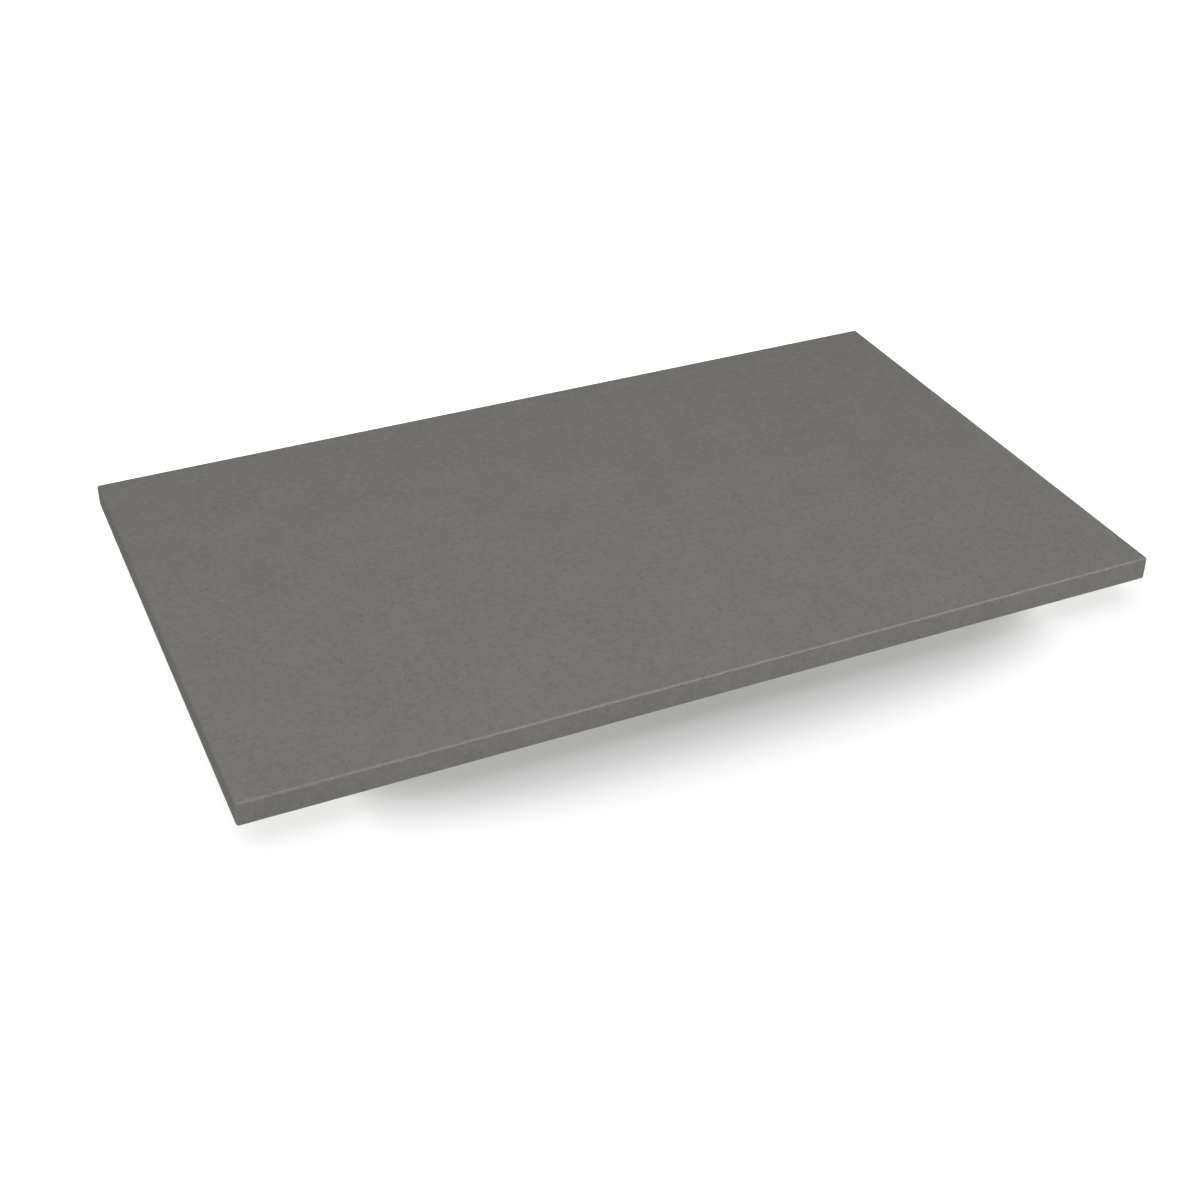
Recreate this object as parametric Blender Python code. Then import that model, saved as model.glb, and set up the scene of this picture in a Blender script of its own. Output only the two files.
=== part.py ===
"""Granite slab for a leatherworking bench, standing on six stuck-on rubber feet.

Metres, +Z up. The origin is on the bench, under the middle of the slab. +X runs along the
slab's long side and -Y faces the worker. Nothing on this object moves.
"""

import math

import bmesh
import bpy

# ---- The stone ----------------------------------------------------------------------

SLAB_LENGTH = 0.750
SLAB_WIDTH = 0.460
SLAB_THICKNESS = 0.020
# Every edge and corner is rubbed to this round.
EASED_EDGE_RADIUS = 0.002

# ---- The rubber feet: short cones, widest at the collar under the stone ----------------

FOOT_HEIGHT = 0.020
FOOT_COLLAR_DIAMETER = 0.038
FOOT_COLLAR_HEIGHT = 0.004
FOOT_COLLAR_ROUNDING = 0.0008
FOOT_SOLE_DIAMETER = 0.032
FOOT_SOLE_ROUNDING = 0.002
# The sole bears on a flat ring around a shallow dish.
SOLE_RING_WIDTH = 0.007
SOLE_DISH_DEPTH = 0.0015
# From the slab's sides to the middle of a corner foot.
FOOT_INSET = 0.060

# ---- The adhesive discs ---------------------------------------------------------------

DISC_THICKNESS = 0.001
# Bare rim of the foot's collar around the disc.
DISC_MARGIN = 0.0025

# ---- Clearance between pieces that are stuck face to face --------------------------------

SEAT_GAP = 0.0003

# ---- Heights that follow from the sizes above --------------------------------------------

DISC_BOTTOM = FOOT_HEIGHT + SEAT_GAP
SLAB_BOTTOM = DISC_BOTTOM + DISC_THICKNESS + SEAT_GAP

# ---- Layout of the feet: a name and a side of the slab's middle --------------------------

FOOT_ROWS = {"front": -1, "back": 1}
FOOT_COLUMNS = {"left": -1, "middle": 0, "right": 1}

# ---- Fineness of the round shapes --------------------------------------------------------

ROUND_SIDES = 36
EASED_EDGE_STEPS = 5
ROUNDING_STEPS = 3
DISH_STEPS = 3
MERGE_DISTANCE = 0.000001
SHARP_ANGLE = math.radians(35)

# ---- Finishes: linear colour, roughness, metallic ----------------------------------------

FINISHES = {
    "honed_granite": ((0.171, 0.168, 0.156), 0.55, 0.0),
    "black_rubber": ((0.022, 0.022, 0.023), 0.75, 0.0),
    "adhesive_foam": ((0.180, 0.180, 0.175), 0.65, 0.0),
}


def clear_scene():
    """Remove whatever the scene starts with."""
    for thing in list(bpy.data.objects):
        bpy.data.objects.remove(thing, do_unlink=True)


def make_finish(name):
    """Make one Principled material from the table of finishes."""
    colour, roughness, metallic = FINISHES[name]
    finish = bpy.data.materials.new(name)
    finish.use_nodes = True
    shader = finish.node_tree.nodes["Principled BSDF"]
    shader.inputs["Base Color"].default_value = (*colour, 1.0)
    shader.inputs["Roughness"].default_value = roughness
    shader.inputs["Metallic"].default_value = metallic
    finish.diffuse_color = (*colour, 1.0)
    return finish


def finished_mesh(name, shape, finish):
    """Turn a bmesh into a mesh with smooth rounds, crisp corners and one finish."""
    bmesh.ops.recalc_face_normals(shape, faces=shape.faces)
    mesh = bpy.data.meshes.new(name)
    shape.to_mesh(mesh)
    shape.free()
    mesh.shade_smooth()
    mesh.set_sharp_from_angle(angle=SHARP_ANGLE)
    mesh.materials.append(finish)
    return mesh


def place(name, mesh, location, frame):
    """Put one named sub-part in the scene, carried by the frame empty."""
    piece = bpy.data.objects.new(name, mesh)
    bpy.context.scene.collection.objects.link(piece)
    piece.parent = frame
    piece.location = location
    return piece


def corner_arc(centre_radius, centre_height, radius, start, end):
    """Points of an outline's rounded corner, as (radius, height), between two angles in degrees."""
    angles = [math.radians(start + (end - start) * step / ROUNDING_STEPS) for step in range(ROUNDING_STEPS + 1)]
    return [(centre_radius + radius * math.cos(a), centre_height + radius * math.sin(a)) for a in angles]


def turned_shape(outline):
    """Spin an outline of (radius, height) points, which starts and ends on the axis, round Z."""
    shape = bmesh.new()
    points = [shape.verts.new((radius, 0.0, height)) for radius, height in outline]
    lines = [shape.edges.new(pair) for pair in zip(points, points[1:])]
    bmesh.ops.spin(
        shape,
        geom=points + lines,
        cent=(0.0, 0.0, 0.0),
        axis=(0.0, 0.0, 1.0),
        angle=math.tau,
        steps=ROUND_SIDES,
        use_merge=True,
    )
    bmesh.ops.remove_doubles(shape, verts=shape.verts, dist=MERGE_DISTANCE)
    return shape


def slab_shape():
    """The stone: a box whose twelve edges are all eased by the same radius."""
    shape = bmesh.new()
    bmesh.ops.create_cube(shape, size=1.0)
    bmesh.ops.scale(shape, vec=(SLAB_LENGTH, SLAB_WIDTH, SLAB_THICKNESS), verts=shape.verts)
    bmesh.ops.translate(shape, vec=(0.0, 0.0, SLAB_THICKNESS / 2), verts=shape.verts)
    bmesh.ops.bevel(
        shape,
        geom=shape.edges,
        offset=EASED_EDGE_RADIUS,
        offset_type="OFFSET",
        segments=EASED_EDGE_STEPS,
        profile=0.5,
        affect="EDGES",
    )
    return shape


def foot_shape():
    """A moulded bumper foot: dished sole, rounded heel, tapered side and a straight collar."""
    sole_radius = FOOT_SOLE_DIAMETER / 2
    collar_radius = FOOT_COLLAR_DIAMETER / 2
    dish_radius = sole_radius - SOLE_RING_WIDTH
    shares = [step / DISH_STEPS for step in range(DISH_STEPS + 1)]
    dish = [(dish_radius * share, SOLE_DISH_DEPTH * (1 - share**2)) for share in shares]
    heel = corner_arc(sole_radius - FOOT_SOLE_ROUNDING, FOOT_SOLE_ROUNDING, FOOT_SOLE_ROUNDING, -90, 0)
    collar_bottom = (collar_radius, FOOT_HEIGHT - FOOT_COLLAR_HEIGHT)
    collar_rim = corner_arc(
        collar_radius - FOOT_COLLAR_ROUNDING, FOOT_HEIGHT - FOOT_COLLAR_ROUNDING, FOOT_COLLAR_ROUNDING, 0, 90
    )
    return turned_shape([*dish, *heel, collar_bottom, *collar_rim, (0.0, FOOT_HEIGHT)])


def disc_shape():
    """A flat foam disc, smaller than the collar that it sticks to."""
    radius = FOOT_COLLAR_DIAMETER / 2 - DISC_MARGIN
    return turned_shape([(0.0, 0.0), (radius, 0.0), (radius, DISC_THICKNESS), (0.0, DISC_THICKNESS)])


def foot_places():
    """Each foot's place name and its middle in plan, row by row."""
    reach_x = SLAB_LENGTH / 2 - FOOT_INSET
    reach_y = SLAB_WIDTH / 2 - FOOT_INSET
    for row, side_y in FOOT_ROWS.items():
        for column, side_x in FOOT_COLUMNS.items():
            yield f"{row}_{column}", side_x * reach_x, side_y * reach_y


def build():
    """Model the slab, its feet and the discs between them."""
    clear_scene()
    frame = bpy.data.objects.new("slab_on_bench", None)
    bpy.context.scene.collection.objects.link(frame)

    slab = finished_mesh("granite_slab", slab_shape(), make_finish("honed_granite"))
    place("granite_slab", slab, (0.0, 0.0, SLAB_BOTTOM), frame)

    foot = finished_mesh("rubber_foot", foot_shape(), make_finish("black_rubber"))
    disc = finished_mesh("adhesive_disc", disc_shape(), make_finish("adhesive_foam"))
    for spot, x, y in foot_places():
        place(f"rubber_foot_{spot}", foot, (x, y, 0.0), frame)
        place(f"adhesive_disc_{spot}", disc, (x, y, DISC_BOTTOM), frame)


build()
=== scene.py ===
"""A honed granite tooling slab on stuck-on rubber feet, made as a small add-on that also runs as a script.

Everything is in metres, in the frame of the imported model: +Z is up, the bench is at zero height, +X runs
along the slab's long side and -Y faces the worker. Texture patterns work in millimetres.
"""

import math

import bmesh
import bpy
from mathutils import Matrix, Vector


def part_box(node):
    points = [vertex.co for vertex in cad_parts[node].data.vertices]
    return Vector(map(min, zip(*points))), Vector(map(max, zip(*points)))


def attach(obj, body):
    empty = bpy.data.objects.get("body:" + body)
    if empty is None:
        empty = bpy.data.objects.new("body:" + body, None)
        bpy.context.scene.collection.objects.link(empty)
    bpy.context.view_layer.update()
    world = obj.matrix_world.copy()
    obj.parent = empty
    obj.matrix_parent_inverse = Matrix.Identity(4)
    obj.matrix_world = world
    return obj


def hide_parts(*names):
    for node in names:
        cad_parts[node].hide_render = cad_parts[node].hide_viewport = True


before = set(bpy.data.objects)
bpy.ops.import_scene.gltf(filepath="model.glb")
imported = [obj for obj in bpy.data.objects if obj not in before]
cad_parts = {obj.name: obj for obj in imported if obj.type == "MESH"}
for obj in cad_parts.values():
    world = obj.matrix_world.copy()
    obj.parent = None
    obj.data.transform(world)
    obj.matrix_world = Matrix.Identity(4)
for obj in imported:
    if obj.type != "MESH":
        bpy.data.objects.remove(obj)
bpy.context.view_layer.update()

bl_info = {
    "name": "Granite Tooling Slab",
    "version": (1, 0, 0),
    "blender": (4, 5, 0),
    "location": "3D View > Sidebar > Granite Slab",
    "description": "Makes a honed granite slab with eased edges, its rubber feet and a plain studio",
    "category": "Add Mesh",
}

SLAB_NODE = "granite_slab"
FOOT_NODES = sorted(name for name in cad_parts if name.startswith("rubber_foot_"))
DISC_NODES = sorted(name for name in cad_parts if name.startswith("adhesive_disc_"))
BODY = "root"

SLAB_LOW, SLAB_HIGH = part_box(SLAB_NODE)
FOOT_LOW, FOOT_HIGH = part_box(FOOT_NODES[0])
DISC_LOW, DISC_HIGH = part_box(DISC_NODES[0])

MILLIMETRES_PER_METRE = 1000.0
MERGE_DISTANCE = 0.000002
WHITE = (1.0, 1.0, 1.0, 1.0)
BLACK = (0.0, 0.0, 0.0, 1.0)


# ---- Settings -------------------------------------------------------------------------------------


def length_property(name, description, default):
    """A size in metres that the sidebar shows in the scene's own units."""
    return bpy.props.FloatProperty(
        name=name, description=description, default=default, min=0.0, precision=5, unit="LENGTH"
    )


def place_property(name, description, default):
    """A coordinate in metres, which may be negative."""
    return bpy.props.FloatProperty(name=name, description=description, default=default, unit="LENGTH")


def angle_property(name, description, degrees):
    """An angle, given here in degrees."""
    return bpy.props.FloatProperty(
        name=name, description=description, default=math.radians(degrees), subtype="ANGLE"
    )


def amount_property(name, description, default):
    """A plain number from zero up."""
    return bpy.props.FloatProperty(name=name, description=description, default=default, min=0.0)


def colour_property(name, description, default):
    """A linear colour."""
    return bpy.props.FloatVectorProperty(
        name=name, description=description, default=default, size=3, min=0.0, max=1.0, subtype="COLOR"
    )


class StoneSettings(bpy.types.PropertyGroup):
    """Sizes and colours of the granite."""

    length: length_property("Length", "Long side of the slab", SLAB_HIGH.x - SLAB_LOW.x)
    width: length_property("Width", "Short side of the slab", SLAB_HIGH.y - SLAB_LOW.y)
    thickness: length_property("Thickness", "Thickness of the stone", SLAB_HIGH.z - SLAB_LOW.z)
    edge_radius: length_property("Edge Radius", "Round rubbed on to every edge", 0.002)
    edge_step: length_property("Edge Step", "Spacing of the mesh along the edges", 0.0015)
    waviness: length_property("Waviness", "How far the hand-rubbed edges wander", 0.00005)
    chip_size: length_property("Chip Size", "Radius of the largest chip on an edge", 0.0016)
    chip_spacing: length_property("Chip Spacing", "Mean distance between places for a chip", 0.014)
    chip_depth: length_property("Chip Depth", "Depth of the largest chip", 0.0002)
    seed: bpy.props.FloatProperty(name="Seed", description="Picks another set of chips", default=7.0)
    mid_colour: colour_property("Feldspar", "The grey mineral that most of it is", (0.170, 0.1645, 0.151))
    light_colour: colour_property("Quartz", "The palest grains", (0.228, 0.221, 0.203))
    dark_colour: colour_property("Mica", "The darkest grains", (0.104, 0.100, 0.093))
    grain_size: length_property("Grain Size", "Width of a typical mineral grain", 0.0017)
    fine_grain_size: length_property("Fine Grain Size", "Width of the grains between them", 0.0008)
    mottle_size: length_property("Mottle Size", "Width of a cluster of like grains", 0.006)
    cloud_size: length_property("Cloud Size", "Width of the faint clouds in the stone", 0.045)


class FootSettings(bpy.types.PropertyGroup):
    """Sizes and colours of a rubber foot and of the foam disc that holds it."""

    collar_diameter: length_property("Collar Diameter", "Widest part", FOOT_HIGH.x - FOOT_LOW.x)
    sole_diameter: length_property("Sole Diameter", "Narrow end, on the bench", 0.032)
    height: length_property("Height", "Height of the foot", FOOT_HIGH.z - FOOT_LOW.z)
    collar_height: length_property("Collar Height", "Straight part at the top", 0.004)
    ring_width: length_property("Ring Width", "Flat ring that bears on the bench", 0.007)
    dish_depth: length_property("Dish Depth", "Hollow in the middle of the sole", 0.0015)
    channel_depth: length_property("Channel Depth", "Depth of the sole's grip channels", 0.0006)
    channel_count: bpy.props.IntProperty(
        name="Channels", description="Grip channels across the sole's ring", default=16, min=0
    )
    colour: colour_property("Rubber", "Colour of the rubber", (0.020, 0.020, 0.021))
    disc_diameter: length_property("Disc Diameter", "Foam under the stone", DISC_HIGH.x - DISC_LOW.x)
    disc_colour: colour_property("Foam", "Colour of the foam tape", (0.160, 0.158, 0.152))


class StageSettings(bpy.types.PropertyGroup):
    """Camera, lights and table."""

    camera_azimuth: angle_property("Camera Azimuth", "How far left of square-on it stands", 23.99)
    camera_elevation: angle_property("Camera Elevation", "Angle that it looks down by", 33.99)
    camera_distance: length_property("Camera Distance", "From the camera to its target", 1.4250)
    aim_x: place_property("Aim X", "Point on the slab's top that the camera looks at", -0.0525)
    aim_y: place_property("Aim Y", "Point on the slab's top that the camera looks at", -0.1062)
    lens: amount_property("Lens", "Focal length in millimetres on a 36 mm sensor", 55.02)
    sky_strength: amount_property("Sky Strength", "Even light from all round", 0.2)
    light_strength: amount_property("Light Strength", "Share of every softbox's full power", 1.0)
    table_colour: colour_property("Table", "Colour of the table top", (0.75, 0.75, 0.75))
    table_glow: amount_property("Table Glow", "Light that the translucent table passes up", 0.25)
    bounce: amount_property("Bounce", "Light that comes up off the table on to the slab", 0.9)


class SlabSettings(bpy.types.PropertyGroup):
    """All settings of the slab and its studio."""

    stone: bpy.props.PointerProperty(type=StoneSettings)
    foot: bpy.props.PointerProperty(type=FootSettings)
    stage: bpy.props.PointerProperty(type=StageSettings)


# ---- Node trees -----------------------------------------------------------------------------------


def add_node(tree, kind, inputs=None, **options):
    """Add a node, set its options, then link or fill its inputs, which are given by name or number."""
    node = tree.nodes.new(kind)
    for option, value in options.items():
        setattr(node, option, value)
    for key, value in (inputs or {}).items():
        if isinstance(value, bpy.types.NodeSocket):
            tree.links.new(value, node.inputs[key])
        else:
            node.inputs[key].default_value = value
    return node


def calculate(tree, operation, *values, clamp=False):
    """One Math node; returns its result."""
    node = add_node(tree, "ShaderNodeMath", dict(enumerate(values)), operation=operation, use_clamp=clamp)
    return node.outputs[0]


def combine_vector(tree, x=0.0, y=0.0, z=0.0):
    """A vector from three numbers or sockets."""
    return add_node(tree, "ShaderNodeCombineXYZ", {0: x, 1: y, 2: z}).outputs[0]


def vector_maths(tree, operation, *values, scale=None):
    """One Vector Math node; returns its vector."""
    inputs = dict(enumerate(values))
    if scale is not None:
        inputs["Scale"] = scale
    return add_node(tree, "ShaderNodeVectorMath", inputs, operation=operation).outputs[0]


def remap(tree, value, old_range, new_range=(0.0, 1.0), smooth=False):
    """Map a value from one range to another, clamped, straight or with soft ends."""
    inputs = {"Value": value}
    inputs["From Min"], inputs["From Max"] = old_range
    inputs["To Min"], inputs["To Max"] = new_range
    style = "SMOOTHSTEP" if smooth else "LINEAR"
    return add_node(tree, "ShaderNodeMapRange", inputs, interpolation_type=style).outputs["Result"]


def split_vector(tree, vector):
    """The X, Y and Z of a vector, as a list of sockets."""
    return add_node(tree, "ShaderNodeSeparateXYZ", {0: vector}).outputs


def position(tree):
    """Where a point of the mesh is."""
    return add_node(tree, "GeometryNodeInputPosition").outputs[0]


def normal(tree):
    """Which way the mesh faces."""
    return add_node(tree, "GeometryNodeInputNormal").outputs[0]


def new_geometry_tree(name, inputs):
    """Make a geometry tree with an input for each (name, kind) and a geometry output."""
    tree = bpy.data.node_groups.new(name, "GeometryNodeTree")
    for label, kind in inputs:
        tree.interface.new_socket(name=label, in_out="INPUT", socket_type=kind)
    tree.interface.new_socket(name="Geometry", in_out="OUTPUT", socket_type="NodeSocketGeometry")
    return tree


def run_geometry_tree(piece, tree, values):
    """Run a tree on a piece's own mesh and keep the result as that piece's plain mesh."""
    modifier = piece.modifiers.new(tree.name, "NODES")
    modifier.node_group = tree
    for item in tree.interface.items_tree:
        if item.in_out == "INPUT" and item.name in values:
            modifier[item.identifier] = values[item.name]
    graph = bpy.context.evaluated_depsgraph_get()
    evaluated = piece.evaluated_get(graph)
    result = bpy.data.meshes.new_from_object(evaluated, preserve_all_data_layers=True, depsgraph=graph)
    piece.modifiers.remove(modifier)
    # A mesh that starts inside the tree brings an empty slot along, before the tree's own materials.
    if result.materials[0] is None:
        result.materials.pop(index=0)
    source = piece.data
    piece.data = result
    bpy.data.meshes.remove(source)
    result.name = piece.name


def new_piece(name, mesh=None):
    """Put a named object at the origin of the scene."""
    piece = bpy.data.objects.new(name, mesh or bpy.data.meshes.new(name))
    bpy.context.scene.collection.objects.link(piece)
    return piece


def hand_over(piece, slot, *nodes):
    """Let a finished piece ride on the model in place of its CAD nodes."""
    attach(piece, BODY)
    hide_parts(*nodes)


# ---- Materials ------------------------------------------------------------------------------------

# What each pattern adds to the stone's middle tone: the pattern, the range of its value, and what the two
# ends of that range add. The first three sort the large crystals into mica, feldspar and quartz.
MIDDLE_TONE = 0.5
TONE_SHARES = (
    ("crystal", (0.015, 0.05), (-0.17, 0.0)),
    ("crystal", (0.05, 0.95), (-0.035, 0.035)),
    ("crystal", (0.94, 0.985), (0.0, 0.15)),
    ("fine_crystal", (0.0, 1.0), (-0.04, 0.04)),
    ("mottle", (0.3, 0.7), (-0.08, 0.08)),
    ("clouds", (0.3, 0.7), (-0.06, 0.06)),
)
# How far the crystals' borders bend, as a share of a crystal's width.
CRYSTAL_BEND = 0.9

# Honed faces. Roughness runs from crystal to crystal, and a rubbed edge is smoother and a little paler, the
# paleness partly wear and partly a painted highlight.
HONED_ROUGHNESS = (0.90, 0.98)
HONED_SPECULAR = 0.3
RUBBED_SMOOTHER = 0.72
RUBBED_AND_HIGHLIGHT_PALER = 0.05

# The sawn underside. The saw's blade is so large that its marks are nearly straight.
SAWN_PALER = 1.35
SAWN_ROUGHNESS = 0.85
SAW_CENTRE = (0.0, -2600.0, 0.0)
SAW_WOBBLE = 3.0


def new_material(name):
    """An empty material tree with one Principled shader on its output."""
    material = bpy.data.materials.new(name)
    material.use_nodes = True
    tree = material.node_tree
    tree.nodes.clear()
    shader = add_node(tree, "ShaderNodeBsdfPrincipled")
    add_node(tree, "ShaderNodeOutputMaterial", {"Surface": shader.outputs[0]})
    return material, tree, shader


def place_in_millimetres(tree):
    """The point on the object in millimetres."""
    coordinates = add_node(tree, "ShaderNodeTexCoord")
    return vector_maths(tree, "SCALE", coordinates.outputs["Object"], scale=MILLIMETRES_PER_METRE)


def noise(tree, place, size, detail=2.0, roughness=0.5, output="Fac"):
    """Noise whose blobs are about this many millimetres across."""
    inputs = {"Vector": place, "Scale": 1.0 / size, "Detail": detail, "Roughness": roughness}
    return add_node(tree, "ShaderNodeTexNoise", inputs).outputs[output]


def crystal_values(tree, place, size):
    """A random value from 0 to 1 for each crystal of about this size in millimetres."""
    cells = add_node(tree, "ShaderNodeTexVoronoi", {"Vector": place, "Scale": 1.0 / size})
    return add_node(tree, "ShaderNodeSeparateColor", {"Color": cells.outputs["Color"]}).outputs["Red"]


def mineral_tone(tree, place, stone):
    """Tone of the stone from 0, darkest grain, to 1, palest, and the value of each large crystal."""
    grain = stone.grain_size * MILLIMETRES_PER_METRE
    fine_grain = stone.fine_grain_size * MILLIMETRES_PER_METRE
    wander = vector_maths(tree, "SUBTRACT", noise(tree, place, grain, output="Color"), (0.5, 0.5, 0.5))
    bent = vector_maths(tree, "ADD", place, vector_maths(tree, "SCALE", wander, scale=grain * CRYSTAL_BEND))
    patterns = {
        "crystal": crystal_values(tree, bent, grain),
        "fine_crystal": crystal_values(tree, bent, fine_grain),
        "mottle": noise(tree, place, stone.mottle_size * MILLIMETRES_PER_METRE, detail=3.0),
        "clouds": noise(tree, place, stone.cloud_size * MILLIMETRES_PER_METRE, detail=4.0, roughness=0.6),
    }
    tone = MIDDLE_TONE
    for pattern, values, tones in TONE_SHARES:
        tone = calculate(tree, "ADD", remap(tree, patterns[pattern], values, tones), tone)
    return tone, patterns["crystal"]


def mineral_colour(tree, tone, stone, lighten=1.0):
    """Colour of the stone for a tone, from the mica through the feldspar to the quartz."""
    ramp = add_node(tree, "ShaderNodeValToRGB", {"Fac": tone})
    stops = ((0.0, stone.dark_colour), (MIDDLE_TONE, stone.mid_colour), (1.0, stone.light_colour))
    elements = ramp.color_ramp.elements
    elements.new(MIDDLE_TONE)
    for element, (place, colour) in zip(elements, stops):
        element.position = place
        element.color = (*(channel * lighten for channel in colour), 1.0)
    return ramp.outputs["Color"]


def bump(tree, height, distance, strength, under=None):
    """A normal for a height from 0 to 1 that stands for this many metres, on top of the relief under it."""
    inputs = {"Height": height, "Distance": distance, "Strength": strength}
    if under is not None:
        inputs["Normal"] = under
    return add_node(tree, "ShaderNodeBump", inputs).outputs["Normal"]


def honed_granite(stone):
    """The worked faces: matt and fine-grained, rubbed smoother along the edges and paler there, partly from
    wear and partly as a painted highlight.
    """
    material, tree, shader = new_material("honed_granite")
    place = place_in_millimetres(tree)
    tone, crystal = mineral_tone(tree, place, stone)
    body = mineral_colour(tree, tone, stone)
    rubbed_and_highlight = add_node(tree, "ShaderNodeAttribute", attribute_name="rubbed_edge_and_highlight").outputs["Fac"]
    # Paler rubbed edges: partly real wear, partly a painted highlight along the edge.
    paler = calculate(tree, "MULTIPLY_ADD", rubbed_and_highlight, RUBBED_AND_HIGHLIGHT_PALER, 1.0)
    tree.links.new(vector_maths(tree, "SCALE", body, scale=paler), shader.inputs["Base Color"])
    matt = remap(tree, crystal, (0.0, 1.0), HONED_ROUGHNESS)
    roughness = calculate(tree, "MULTIPLY_ADD", rubbed_and_highlight, -RUBBED_SMOOTHER, matt)
    tree.links.new(roughness, shader.inputs["Roughness"])
    shader.inputs["Specular IOR Level"].default_value = HONED_SPECULAR
    grain_relief = bump(tree, tone, distance=0.00005, strength=0.5)
    stipple = noise(tree, place, size=0.6)
    honed = bump(tree, stipple, distance=0.00002, strength=0.5, under=grain_relief)
    tree.links.new(honed, shader.inputs["Normal"])
    return material


def sawn_granite(stone):
    """The unworked underside: paler and rough, with the saw's long, slightly curved marks."""
    material, tree, shader = new_material("sawn_granite")
    place = place_in_millimetres(tree)
    tone, _ = mineral_tone(tree, place, stone)
    tree.links.new(mineral_colour(tree, tone, stone, lighten=SAWN_PALER), shader.inputs["Base Color"])
    shader.inputs["Roughness"].default_value = SAWN_ROUGHNESS
    around = vector_maths(tree, "SUBTRACT", place, SAW_CENTRE)
    reach = add_node(tree, "ShaderNodeVectorMath", {0: around}, operation="LENGTH").outputs["Value"]
    wobble = calculate(tree, "MULTIPLY", noise(tree, place, size=60.0), SAW_WOBBLE)
    across_marks = combine_vector(tree, calculate(tree, "ADD", reach, wobble))
    marks = bump(tree, noise(tree, across_marks, size=2.4, detail=3.0), distance=0.0004, strength=0.6)
    pits = noise(tree, place, size=0.9, detail=3.0)
    pitted = bump(tree, pits, distance=0.0002, strength=0.6, under=marks)
    tree.links.new(pitted, shader.inputs["Normal"])
    return material


def shaded_colour(tree, colour, shade):
    """A plain colour made lighter or darker by a pattern."""
    plain = add_node(tree, "ShaderNodeRGB")
    plain.outputs[0].default_value = (*colour, 1.0)
    return vector_maths(tree, "SCALE", plain.outputs[0], scale=shade)


def moulded_rubber(foot):
    """Matt black rubber with a faint bloom and a fine moulded skin."""
    material, tree, shader = new_material("moulded_rubber")
    place = place_in_millimetres(tree)
    bloom = noise(tree, place, size=7.0, detail=4.0, roughness=0.6)
    shade = remap(tree, bloom, (0.35, 0.75), (0.85, 1.6))
    tree.links.new(shaded_colour(tree, foot.colour, shade), shader.inputs["Base Color"])
    tree.links.new(remap(tree, bloom, (0.3, 0.7), (0.62, 0.80)), shader.inputs["Roughness"])
    skin = bump(tree, noise(tree, place, size=0.35), distance=0.00004, strength=0.5)
    tree.links.new(skin, shader.inputs["Normal"])
    return material


def foam_tape(foot):
    """Grey closed-cell foam: pores on its cut edge, and a colour mottled by painted shade in the pores."""
    material, tree, shader = new_material("foam_tape")
    place = place_in_millimetres(tree)
    pores_per_millimetre = 4.0
    cells = add_node(tree, "ShaderNodeTexVoronoi", {"Vector": place, "Scale": pores_per_millimetre})
    pores = cells.outputs["Distance"]
    # The colour is darker in the pores: painted shade.
    shade = remap(tree, pores, (0.0, 0.6), (0.65, 1.1))
    tree.links.new(shaded_colour(tree, foot.disc_colour, shade), shader.inputs["Base Color"])
    shader.inputs["Roughness"].default_value = 0.8
    tree.links.new(bump(tree, pores, distance=0.0001, strength=0.6), shader.inputs["Normal"])
    return material


def white_table(stage):
    """A translucent white table top that passes some light up from below."""
    material, _, shader = new_material("white_table")
    shader.inputs["Base Color"].default_value = (*stage.table_colour, 1.0)
    shader.inputs["Roughness"].default_value = 0.9
    shader.inputs["Specular IOR Level"].default_value = 0.0
    shader.inputs["Emission Color"].default_value = WHITE
    shader.inputs["Emission Strength"].default_value = stage.table_glow
    return material


def white_glow(name, strength):
    """Plain even white light, which no other light in the studio marks."""
    material, _, shader = new_material(name)
    shader.inputs["Base Color"].default_value = BLACK
    shader.inputs["Specular IOR Level"].default_value = 0.0
    shader.inputs["Emission Color"].default_value = WHITE
    shader.inputs["Emission Strength"].default_value = strength
    material.cycles.emission_sampling = "NONE"
    return material


# ---- The stone ------------------------------------------------------------------------------------

PLAN_CORNER_STEPS = 6
EDGE_ROUND_STEPS = 8
# The plan's corners are this much rounder than the edges, so that the band's inner rim stays open there.
CORNER_ALLOWANCE = 0.0002
# Strip of the flat top, and of the underside, that belongs to the swept band.
LIP_WIDTH = 0.0001

# Number of slow bends in a metre of worn edge.
WANDERS_PER_METRE = 45.0
# The higher this is, the fewer of the chips are large.
CHIP_RARITY = 3.0
# Added to the radius of every chip, so that none is zero.
SMALLEST_CHIP = 0.00001

# How fully an edge is rubbed, and paled as a painted highlight, where it doesn't face the worker, and the Y
# of an edge's normal at which it faces them enough to be rubbed fully.
OTHER_EDGE_RUBBING = 0.3
FACING_WORKER = -0.3

# A face is flat if its normal's Z, up or down, is at least this, and is the underside's if it is lower than
# the second value.
LEVEL = 0.99999
FACING_DOWN = -0.9


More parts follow.
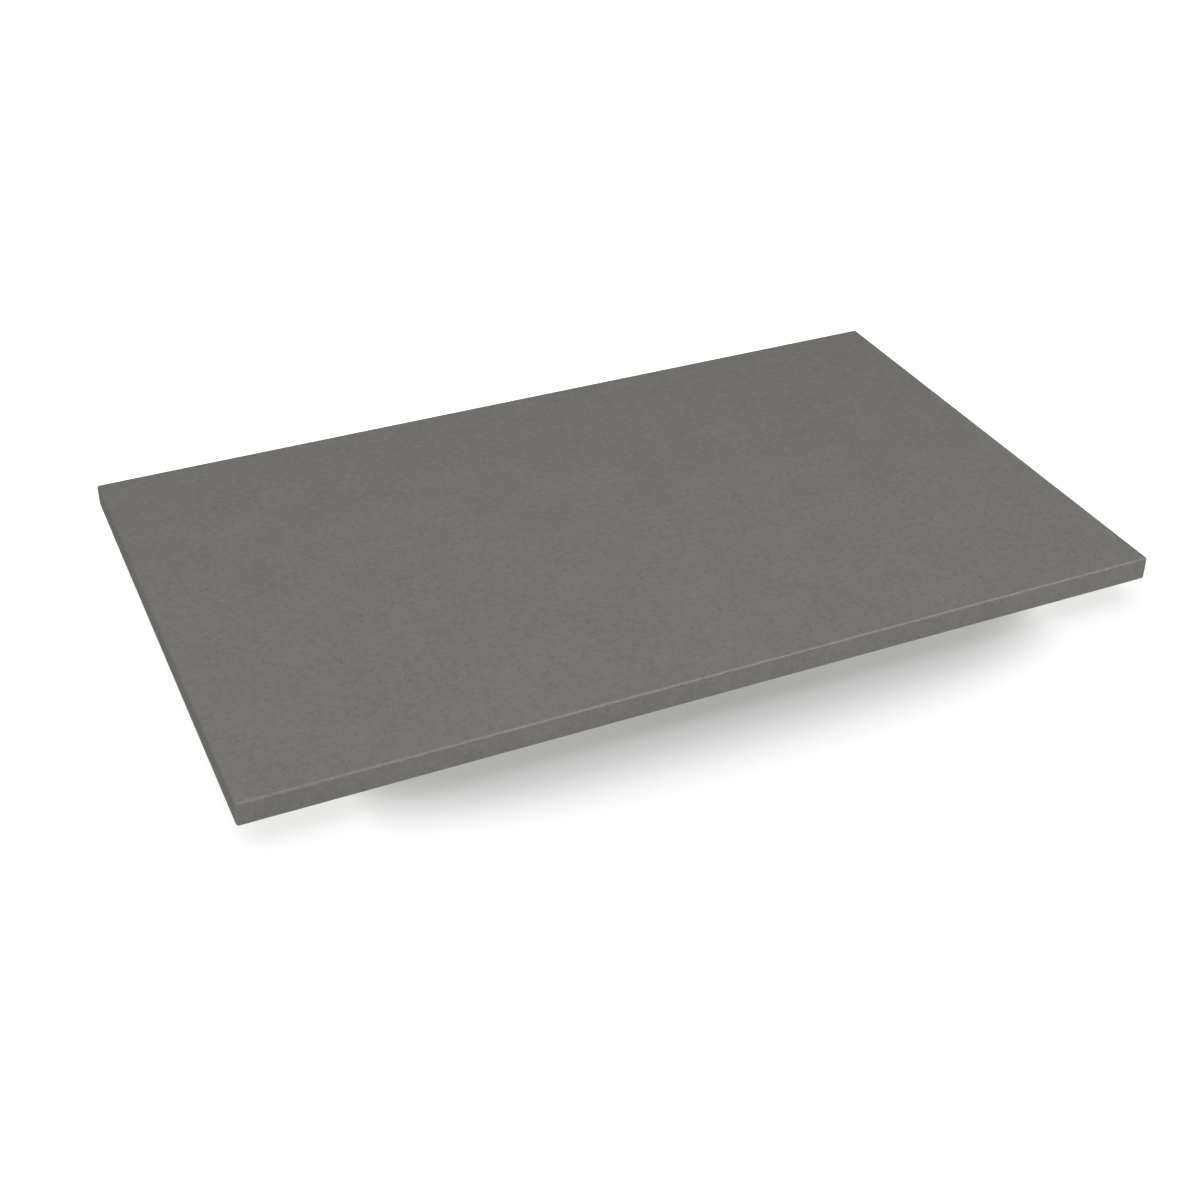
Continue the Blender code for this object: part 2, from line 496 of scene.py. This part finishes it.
def subdivide_evenly(tree, curve, step):
    """Cut each straight run of a closed curve into even pieces about one step long."""
    start = position(tree)
    index = add_node(tree, "GeometryNodeInputIndex").outputs[0]
    following = add_node(tree, "GeometryNodeOffsetPointInCurve", {"Point Index": index, "Offset": 1})
    lookup = {"Value": start, "Index": following.outputs["Point Index"]}
    end = add_node(tree, "GeometryNodeFieldAtIndex", lookup, data_type="FLOAT_VECTOR").outputs[0]
    run = add_node(tree, "ShaderNodeVectorMath", {0: start, 1: end}, operation="DISTANCE").outputs["Value"]
    pieces = calculate(tree, "ROUND", calculate(tree, "DIVIDE", run, step))
    cuts = calculate(tree, "MAXIMUM", calculate(tree, "SUBTRACT", pieces, 1.0), 0.0)
    return add_node(tree, "GeometryNodeSubdivideCurve", {"Curve": curve, "Cuts": cuts}).outputs[0]


def round_corners(tree, curve, radius, steps):
    """Give a curve round corners made of this many steps."""
    inputs = {"Curve": curve, "Count": steps, "Radius": radius}
    return add_node(tree, "GeometryNodeFilletCurve", inputs, mode="POLY").outputs[0]


def rounded_plan(tree, length, width, radius, step):
    """The slab's outline from above, with small round corners."""
    sides = {"Width": length, "Height": width}
    oblong = add_node(tree, "GeometryNodeCurvePrimitiveQuadrilateral", sides).outputs[0]
    return subdivide_evenly(tree, round_corners(tree, oblong, radius, PLAN_CORNER_STEPS), step)


def edge_profile(tree, thickness, radius, inset):
    """Section through the slab's side: a short lip of the top, round, down, round and a lip underneath.

    The sweep lays the section's X outwards and its Y downwards.
    """
    lip = calculate(tree, "MULTIPLY", inset, -1.0)
    top = calculate(tree, "MULTIPLY", thickness, -1.0)
    points = {
        "Point 1": combine_vector(tree, lip, top),
        "Point 2": combine_vector(tree, 0.0, top),
        "Point 3": combine_vector(tree, 0.0, 0.0),
        "Point 4": combine_vector(tree, lip, 0.0),
    }
    corners = add_node(tree, "GeometryNodeCurvePrimitiveQuadrilateral", points, mode="POINTS").outputs[0]
    opened = add_node(tree, "GeometryNodeSetSplineCyclic", {"Geometry": corners, "Cyclic": False}).outputs[0]
    return round_corners(tree, opened, radius, EDGE_ROUND_STEPS)


def raise_by(tree, shape, height):
    """Lift a shape."""
    lift = {"Geometry": shape, "Translation": combine_vector(tree, z=height)}
    return add_node(tree, "GeometryNodeTransform", lift).outputs[0]


def flat_face(tree, band, height, thickness, top):
    """The flat top or underside, filled from the band's own open rim so that both share their points."""
    faces_beside = add_node(tree, "GeometryNodeInputMeshEdgeNeighbors").outputs[0]
    open_edge = calculate(tree, "COMPARE", faces_beside, 1.0, 0.1)
    middle = calculate(tree, "MULTIPLY", thickness, 0.5)
    height_here = split_vector(tree, position(tree))[2]
    this_side = calculate(tree, "GREATER_THAN" if top else "LESS_THAN", height_here, middle)
    chosen = {"Mesh": band, "Selection": calculate(tree, "MULTIPLY", open_edge, this_side)}
    rim = add_node(tree, "GeometryNodeMeshToCurve", chosen).outputs[0]
    face = add_node(tree, "GeometryNodeFillCurve", {"Curve": rim}, mode="NGONS").outputs[0]
    if not top:
        face = add_node(tree, "GeometryNodeFlipFaces", {"Mesh": face}).outputs[0]
    return raise_by(tree, face, height)


def edge_strength(tree):
    """How much of an edge a point is: 1 in the middle of a rounded edge, 0 on a flat face."""
    across, along, up = (calculate(tree, "ABSOLUTE", part) for part in split_vector(tree, normal(tree)))
    outwards_squared = calculate(tree, "SUBTRACT", 1.0, calculate(tree, "MULTIPLY", up, up), clamp=True)
    outwards = calculate(tree, "SQRT", outwards_squared)
    # The sine times the cosine of a slope is a half at 45 degrees, so twice that is 1 in an edge's middle.
    level_edge = calculate(tree, "MULTIPLY", calculate(tree, "MULTIPLY", up, outwards), 2.0)
    upright_edge = calculate(tree, "MULTIPLY", calculate(tree, "MULTIPLY", across, along), 2.0)
    return calculate(tree, "MAXIMUM", level_edge, upright_edge, clamp=True)


def rubbing_and_highlight(tree, strength):
    """How smooth and pale an edge is rubbed: fully on the worker's side, where hands pass, and less
    elsewhere; the paleness is partly a painted highlight on the front edge.
    """
    away = split_vector(tree, normal(tree))[1]
    share = remap(tree, away, (FACING_WORKER, 0.0), (1.0, OTHER_EDGE_RUBBING))
    return calculate(tree, "MULTIPLY", strength, share)


def chip_depths(tree, place, size, spacing, depth):
    """Depth of the shallow chips: one random size for each cell of a random pattern, most of them small."""
    pattern = {"Vector": place, "Scale": calculate(tree, "DIVIDE", 1.0, spacing)}
    cells = add_node(tree, "ShaderNodeTexVoronoi", pattern)
    lot = add_node(tree, "FunctionNodeSeparateColor", {"Color": cells.outputs["Color"]}).outputs["Red"]
    share = calculate(tree, "POWER", lot, CHIP_RARITY)
    radius = calculate(tree, "ADD", calculate(tree, "MULTIPLY", share, size), SMALLEST_CHIP)
    away = calculate(tree, "MULTIPLY", cells.outputs["Distance"], spacing)
    bowl = calculate(tree, "SUBTRACT", 1.0, calculate(tree, "DIVIDE", away, radius), clamp=True)
    hollow = calculate(tree, "MULTIPLY", calculate(tree, "SQRT", bowl), share)
    return calculate(tree, "MULTIPLY", hollow, depth)


def slab_shape(tree, given):
    """The slab with clean round edges: a band swept round the plan, closed by the two flat faces."""
    thickness = given["Thickness"]
    corner_radius = calculate(tree, "ADD", given["Edge Radius"], CORNER_ALLOWANCE)
    inset = calculate(tree, "ADD", given["Edge Radius"], LIP_WIDTH)
    plan = rounded_plan(tree, given["Length"], given["Width"], corner_radius, given["Edge Step"])
    profile = edge_profile(tree, thickness, given["Edge Radius"], inset)
    band = add_node(tree, "GeometryNodeCurveToMesh", {"Curve": plan, "Profile Curve": profile}).outputs[0]
    top = flat_face(tree, band, thickness, thickness, True)
    underside = flat_face(tree, band, 0.0, thickness, False)
    joined = add_node(tree, "GeometryNodeJoinGeometry")
    for part in (underside, top, band):
        tree.links.new(part, joined.inputs[0])
    pieces = {"Geometry": joined.outputs[0], "Distance": MERGE_DISTANCE}
    return add_node(tree, "GeometryNodeMergeByDistance", pieces).outputs[0]


def worn_edges(tree, shape, given):
    """Let the edges wander and chip, and mark for the material how smooth and how pale they are rubbed, the
    paleness partly a painted highlight.
    """
    strength = edge_strength(tree)
    # The stored value pales the edges in the material, partly as a painted highlight, and makes them
    # smoother.
    mark = {"Geometry": shape, "Name": "rubbed_edge_and_highlight", "Value": rubbing_and_highlight(tree, strength)}
    marked = add_node(tree, "GeometryNodeStoreNamedAttribute", mark).outputs[0]
    moved = vector_maths(tree, "ADD", position(tree), combine_vector(tree, given["Seed"]))
    bends = {"Vector": moved, "Scale": WANDERS_PER_METRE, "Detail": 3.0}
    wander = add_node(tree, "ShaderNodeTexNoise", bends).outputs["Fac"]
    worn = calculate(tree, "MULTIPLY", wander, given["Waviness"])
    chipped = chip_depths(tree, moved, given["Chip Size"], given["Chip Spacing"], given["Chip Depth"])
    depth = calculate(tree, "MULTIPLY", calculate(tree, "ADD", worn, chipped), strength)
    inward = vector_maths(tree, "SCALE", normal(tree), scale=calculate(tree, "MULTIPLY", depth, -1.0))
    return add_node(tree, "GeometryNodeSetPosition", {"Geometry": marked, "Offset": inward}).outputs[0]


def slab_tree():
    """Geometry tree: shape the slab, wear its edges, and give it its finishes."""
    sizes = ("Length", "Width", "Thickness", "Edge Radius", "Edge Step", "Waviness")
    sizes += ("Chip Size", "Chip Spacing", "Chip Depth", "Base Height", "Seed")
    inputs = [(name, "NodeSocketFloat") for name in sizes]
    inputs += [("Honed", "NodeSocketMaterial"), ("Sawn", "NodeSocketMaterial")]
    tree = new_geometry_tree("eased_slab", inputs)
    given = add_node(tree, "NodeGroupInput").outputs

    worn = worn_edges(tree, slab_shape(tree, given), given)
    raised = raise_by(tree, worn, given["Base Height"])
    facing_up = split_vector(tree, normal(tree))[2]
    curved = calculate(tree, "LESS_THAN", calculate(tree, "ABSOLUTE", facing_up), LEVEL)
    shaded = {"Geometry": raised, "Shade Smooth": curved}
    smooth = add_node(tree, "GeometryNodeSetShadeSmooth", shaded).outputs[0]
    solid = add_node(tree, "GeometryNodeRealizeInstances", {"Geometry": smooth}).outputs[0]
    all_over = {"Geometry": solid, "Material": given["Honed"]}
    honed = add_node(tree, "GeometryNodeSetMaterial", all_over).outputs[0]
    facing_down = calculate(tree, "LESS_THAN", facing_up, FACING_DOWN)
    underneath = {"Geometry": honed, "Selection": facing_down, "Material": given["Sawn"]}
    add_node(tree, "NodeGroupOutput", {0: add_node(tree, "GeometryNodeSetMaterial", underneath).outputs[0]})
    return tree


class GRANITE_OT_stone(bpy.types.Operator):
    """Make the granite slab with its worn, eased edges"""

    bl_idname = "granite.stone"
    bl_label = "Make Stone"

    def execute(self, context):
        stone = context.scene.granite_slab.stone
        values = {
            "Length": stone.length,
            "Width": stone.width,
            "Thickness": stone.thickness,
            "Edge Radius": stone.edge_radius,
            "Edge Step": stone.edge_step,
            "Waviness": stone.waviness,
            "Chip Size": stone.chip_size,
            "Chip Spacing": stone.chip_spacing,
            "Chip Depth": stone.chip_depth,
            "Base Height": SLAB_LOW.z,
            "Seed": stone.seed,
            "Honed": honed_granite(stone),
            "Sawn": sawn_granite(stone),
        }
        piece = new_piece("eased_granite_slab")
        run_geometry_tree(piece, slab_tree(), values)
        hand_over(piece, "granite", SLAB_NODE)
        return {"FINISHED"}


# ---- The feet -------------------------------------------------------------------------------------

ROUND_SIDES = 96
ARC_STEPS = 5
DISH_STEPS = 8
SHARP_ANGLE = math.radians(40)
# Each foot is turned by this much more than the last.
GOLDEN_ANGLE = math.radians(137.5)

# Rounds at the foot's heel and at the rim of its collar, and the ridge where the mould's halves meet.
HEEL_RADIUS = 0.002
RIM_RADIUS = 0.0008
PARTING_RIDGE = 0.00025

# Points lower than this belong to the sole's flat ring. A channel's sides lie between these two values of a
# cosine that is 1 along the middle of each channel.
SOLE_HEIGHT = 0.0005
CHANNEL_SIDES = (0.55, 0.9)

# How far the squeezed foam swells out half way up.
FOAM_BULGE = 0.00015


def arc(centre, radius, start, end):
    """Points of a round in an outline of (radius, height), between two angles in degrees."""
    angles = (math.radians(start + (end - start) * step / ARC_STEPS) for step in range(ARC_STEPS + 1))
    return [(centre[0] + radius * math.cos(angle), centre[1] + radius * math.sin(angle)) for angle in angles]


def turned_mesh(name, outline):
    """Spin an outline of (radius, height), from axis to axis, into a closed mesh."""
    shape = bmesh.new()
    points = [shape.verts.new((radius, 0.0, height)) for radius, height in outline]
    lines = [shape.edges.new(pair) for pair in zip(points, points[1:])]
    bmesh.ops.spin(
        shape,
        geom=points + lines,
        cent=(0.0, 0.0, 0.0),
        axis=(0.0, 0.0, 1.0),
        angle=math.tau,
        steps=ROUND_SIDES,
        use_merge=True,
    )
    bmesh.ops.remove_doubles(shape, verts=shape.verts, dist=MERGE_DISTANCE)
    bmesh.ops.recalc_face_normals(shape, faces=shape.faces)
    mesh = bpy.data.meshes.new(name)
    shape.to_mesh(mesh)
    shape.free()
    mesh.shade_smooth()
    mesh.set_sharp_from_angle(angle=SHARP_ANGLE)
    return mesh


def foot_outline(foot):
    """Section through a foot, from the middle of its sole to the middle of its seat."""
    sole = foot.sole_diameter / 2
    collar = foot.collar_diameter / 2
    dish = sole - foot.ring_width
    shares = [step / DISH_STEPS for step in range(DISH_STEPS + 1)]
    points = [(dish * share, foot.dish_depth * (1 - share**2)) for share in shares]
    ring = sole - HEEL_RADIUS - dish
    points += [(dish + ring * share, 0.0) for share in shares[1:-1]]
    points += arc((sole - HEEL_RADIUS, HEEL_RADIUS), HEEL_RADIUS, -90, 0)
    seam = foot.height - foot.collar_height
    wall = collar - PARTING_RIDGE
    points += [(wall, seam - PARTING_RIDGE), (collar, seam)]
    points += [(collar, seam + PARTING_RIDGE), (wall, seam + 2 * PARTING_RIDGE)]
    points += arc((wall - RIM_RADIUS, foot.height - RIM_RADIUS), RIM_RADIUS, 0, 90)
    return points + [(0.0, foot.height)]


def sole_tree():
    """Geometry tree: press evenly spaced grip channels into the flat ring of a turned sole."""
    numbers = ("Ring Inside", "Channel Depth", "Channel Count")
    inputs = [("Geometry", "NodeSocketGeometry"), ("Rubber", "NodeSocketMaterial")]
    inputs += [(name, "NodeSocketFloat") for name in numbers]
    tree = new_geometry_tree("grip_sole", inputs)
    given = add_node(tree, "NodeGroupInput").outputs
    x, y, height = split_vector(tree, position(tree))
    reach_squared = calculate(tree, "MULTIPLY_ADD", x, x, calculate(tree, "MULTIPLY", y, y))
    on_ring = calculate(tree, "GREATER_THAN", calculate(tree, "SQRT", reach_squared), given["Ring Inside"])
    turn = calculate(tree, "MULTIPLY", calculate(tree, "ARCTAN2", y, x), given["Channel Count"])
    channel = remap(tree, calculate(tree, "COSINE", turn), CHANNEL_SIDES, smooth=True)
    low = calculate(tree, "LESS_THAN", height, SOLE_HEIGHT)
    depth = calculate(tree, "MULTIPLY", low, given["Channel Depth"])
    lift = calculate(tree, "MULTIPLY", calculate(tree, "MULTIPLY", channel, on_ring), depth)
    press = {"Geometry": given["Geometry"], "Offset": combine_vector(tree, z=lift)}
    pressed = add_node(tree, "GeometryNodeSetPosition", press).outputs[0]
    solid = add_node(tree, "GeometryNodeRealizeInstances", {"Geometry": pressed}).outputs[0]
    all_over = {"Geometry": solid, "Material": given["Rubber"]}
    add_node(tree, "NodeGroupOutput", {0: add_node(tree, "GeometryNodeSetMaterial", all_over).outputs[0]})
    return tree


def middle_of(node):
    """Middle of a CAD node in plan."""
    low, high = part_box(node)
    return (low.x + high.x) / 2, (low.y + high.y) / 2


class GRANITE_OT_feet(bpy.types.Operator):
    """Make the rubber feet, each turned to an angle of its own, as hands would stick them on"""

    bl_idname = "granite.feet"
    bl_label = "Make Feet"

    def execute(self, context):
        foot = context.scene.granite_slab.foot
        tree = sole_tree()
        values = {
            "Ring Inside": foot.sole_diameter / 2 - foot.ring_width,
            "Channel Depth": foot.channel_depth,
            "Channel Count": float(foot.channel_count),
            "Rubber": moulded_rubber(foot),
        }
        for number, node in enumerate(FOOT_NODES):
            x, y = middle_of(node)
            name = node.replace("rubber_foot", "moulded_foot")
            piece = new_piece(name, turned_mesh(name, foot_outline(foot)))
            run_geometry_tree(piece, tree, values)
            turn = Matrix.Rotation(number * GOLDEN_ANGLE, 4, "Z")
            piece.data.transform(Matrix.Translation((x, y, FOOT_LOW.z)) @ turn)
            hand_over(piece, "rubber", node)
        return {"FINISHED"}


class GRANITE_OT_discs(bpy.types.Operator):
    """Make the foam discs that fill the joint between each foot and the stone"""

    bl_idname = "granite.discs"
    bl_label = "Make Adhesive Discs"

    def execute(self, context):
        foot = context.scene.granite_slab.foot
        foam = foam_tape(foot)
        radius = foot.disc_diameter / 2
        low, high = FOOT_HIGH.z, SLAB_LOW.z
        outline = [(0.0, low), (radius - FOAM_BULGE, low)]
        outline += [(radius, (low + high) / 2), (radius - FOAM_BULGE, high), (0.0, high)]
        for node in DISC_NODES:
            x, y = middle_of(node)
            name = node.replace("adhesive_disc", "foam_disc")
            mesh = turned_mesh(name, outline)
            mesh.materials.append(foam)
            mesh.transform(Matrix.Translation((x, y, 0.0)))
            hand_over(new_piece(name, mesh), "adhesive_foam", node)
        return {"FINISHED"}


# ---- The studio -----------------------------------------------------------------------------------

TABLE_RADIUS = 1.9
TABLE_SIDES = 128
# The card lies just under the table, so that it lights the slab and not the table.
CARD_HEIGHT = -0.001
BACKDROP_RADIUS = 12.0
BACKDROP_FINENESS = 4
SENSOR_WIDTH = 36.0

# Name, azimuth and elevation in degrees, distance, width and height in metres, power in watts, and what it
# lights. The stone and the table are lit apart, so that the shadow is soft and the stone keeps its tone.
SOFTBOXES = (
    ("key", 60, 68, 2.5, (1.2, 1.2), 33, "stone"),
    ("edge_sheen", -33, 43, 3.0, (2.4, 0.3), 45, "stone"),
    ("front_fill", -10, 6, 4.0, (2.7, 2.7), 10, "stone"),
    ("table_top", 150, 78, 1.6, (3.2, 3.2), 28, "table"),
    ("table_left", 106, 8, 6.0, (3.0, 1.0), 1250, "table"),
    ("table_right", -106, 8, 6.0, (3.0, 1.0), 1200, "table"),
)


def direction(azimuth, elevation):
    """Unit vector towards a place at this azimuth, counted from -Y towards -X, and elevation."""
    level = math.cos(elevation)
    return Vector((-math.sin(azimuth) * level, -math.cos(azimuth) * level, math.sin(elevation)))


def aim(thing, place, target):
    """Stand a camera or a light at a place and point it at a target."""
    thing.location = place
    thing.rotation_mode = "QUATERNION"
    thing.rotation_quaternion = (place - target).to_track_quat("Z", "Y")


def add_camera(stage):
    """The scene's camera."""
    data = bpy.data.cameras.new("camera")
    data.sensor_width = SENSOR_WIDTH
    data.lens = stage.lens
    camera = bpy.data.objects.new("camera", data)
    bpy.context.scene.collection.objects.link(camera)
    target = Vector((stage.aim_x, stage.aim_y, SLAB_HIGH.z))
    away = direction(stage.camera_azimuth, stage.camera_elevation) * stage.camera_distance
    aim(camera, target + away, target)
    bpy.context.scene.camera = camera


def add_softbox(name, azimuth, elevation, distance, sides, power, receivers):
    """A flat light pointed at the slab, which lights only the objects in the collection of receivers."""
    data = bpy.data.lights.new(name, "AREA")
    data.shape = "RECTANGLE"
    data.size, data.size_y = sides
    data.energy = power
    light = bpy.data.objects.new(name, data)
    light.visible_camera = False
    bpy.context.scene.collection.objects.link(light)
    target = Vector((0.0, 0.0, SLAB_HIGH.z))
    aim(light, target + direction(math.radians(azimuth), math.radians(elevation)) * distance, target)
    light.light_linking.receiver_collection = receivers


def add_sky(stage):
    """Even white light from all round."""
    world = bpy.data.worlds.new("studio")
    world.use_nodes = True
    sky = world.node_tree.nodes["Background"]
    sky.inputs["Color"].default_value = WHITE
    sky.inputs["Strength"].default_value = stage.sky_strength
    bpy.context.scene.world = world


def stage_piece(name, shape, material):
    """Put a part of the studio in the scene, from a bmesh."""
    mesh = bpy.data.meshes.new(name)
    shape.to_mesh(mesh)
    shape.free()
    mesh.materials.append(material)
    piece = new_piece(name, mesh)
    return piece


def round_sheet(height):
    """A flat disc as wide as the table."""
    shape = bmesh.new()
    bmesh.ops.create_circle(shape, cap_ends=True, segments=TABLE_SIDES, radius=TABLE_RADIUS)
    bmesh.ops.translate(shape, vec=(0.0, 0.0, height), verts=shape.verts)
    return shape


def hide_from(piece, *rays):
    """Keep a part of the studio out of the sight of some kinds of ray."""
    for kind in rays:
        setattr(piece, f"visible_{kind}", False)


def add_table(stage):
    """A round white table top, wider than the view, which passes none of its own glare on to the slab."""
    table = stage_piece("white_table", round_sheet(0.0), white_table(stage))
    hide_from(table, "diffuse", "glossy")
    return table


def add_bounce_card(stage):
    """The even light that comes up on to the slab's sides, in place of the table's own glare."""
    card = stage_piece("bounce_card", round_sheet(CARD_HEIGHT), white_glow("bounce_card", stage.bounce))
    hide_from(card, "camera", "shadow")


def add_backdrop():
    """A white shell round the studio that the camera sees, and that lights nothing."""
    shape = bmesh.new()
    bmesh.ops.create_icosphere(shape, subdivisions=BACKDROP_FINENESS, radius=BACKDROP_RADIUS)
    backdrop = stage_piece("white_backdrop", shape, white_glow("white_backdrop", 1.0))
    hide_from(backdrop, "diffuse", "glossy", "transmission", "volume_scatter", "shadow")


def light_group(name, members):
    """A named group of the objects that a light may fall on."""
    group = bpy.data.collections.new(name)
    for member in members:
        group.objects.link(member)
    return group


class GRANITE_OT_stage(bpy.types.Operator):
    """Set up the table, the soft lights and the camera round the finished slab"""

    bl_idname = "granite.stage"
    bl_label = "Set Stage"

    def execute(self, context):
        stage = context.scene.granite_slab.stage
        slab = [thing for thing in context.scene.objects if thing.type == "MESH"]
        table = add_table(stage)
        add_bounce_card(stage)
        add_backdrop()
        groups = {
            "stone": light_group("lit_slab", slab),
            "table": light_group("lit_table", [table]),
        }
        add_sky(stage)
        for name, azimuth, elevation, distance, sides, power, lit in SOFTBOXES:
            full = power * stage.light_strength
            add_softbox(name, azimuth, elevation, distance, sides, full, groups[lit])
        add_camera(stage)
        context.scene.view_settings.view_transform = "Standard"
        context.scene.view_settings.look = "None"
        return {"FINISHED"}


# ---- The add-on -----------------------------------------------------------------------------------

OPERATORS = (GRANITE_OT_stone, GRANITE_OT_feet, GRANITE_OT_discs, GRANITE_OT_stage)


class GRANITE_PT_panel(bpy.types.Panel):
    """The slab's settings and the buttons that make its pieces"""

    bl_label = "Granite Slab"
    bl_idname = "GRANITE_PT_panel"
    bl_space_type = "VIEW_3D"
    bl_region_type = "UI"
    bl_category = "Granite Slab"

    def draw(self, context):
        settings = context.scene.granite_slab
        for title, group in (("Stone", settings.stone), ("Feet", settings.foot), ("Stage", settings.stage)):
            box = self.layout.box()
            box.label(text=title)
            for name in group.__annotations__:
                box.prop(group, name)
        for operator in OPERATORS:
            self.layout.operator(operator.bl_idname)


CLASSES = (StoneSettings, FootSettings, StageSettings, SlabSettings, *OPERATORS, GRANITE_PT_panel)


def register():
    """Add the classes and the scene's settings."""
    for kind in CLASSES:
        bpy.utils.register_class(kind)
    bpy.types.Scene.granite_slab = bpy.props.PointerProperty(type=SlabSettings)


def unregister():
    """Take the settings and the classes away again."""
    del bpy.types.Scene.granite_slab
    for kind in reversed(CLASSES):
        bpy.utils.unregister_class(kind)


def main():
    """Make every piece and the studio."""
    register()
    bpy.ops.granite.stone()
    bpy.ops.granite.feet()
    bpy.ops.granite.discs()
    bpy.ops.granite.stage()


if __name__ == "__main__":
    main()
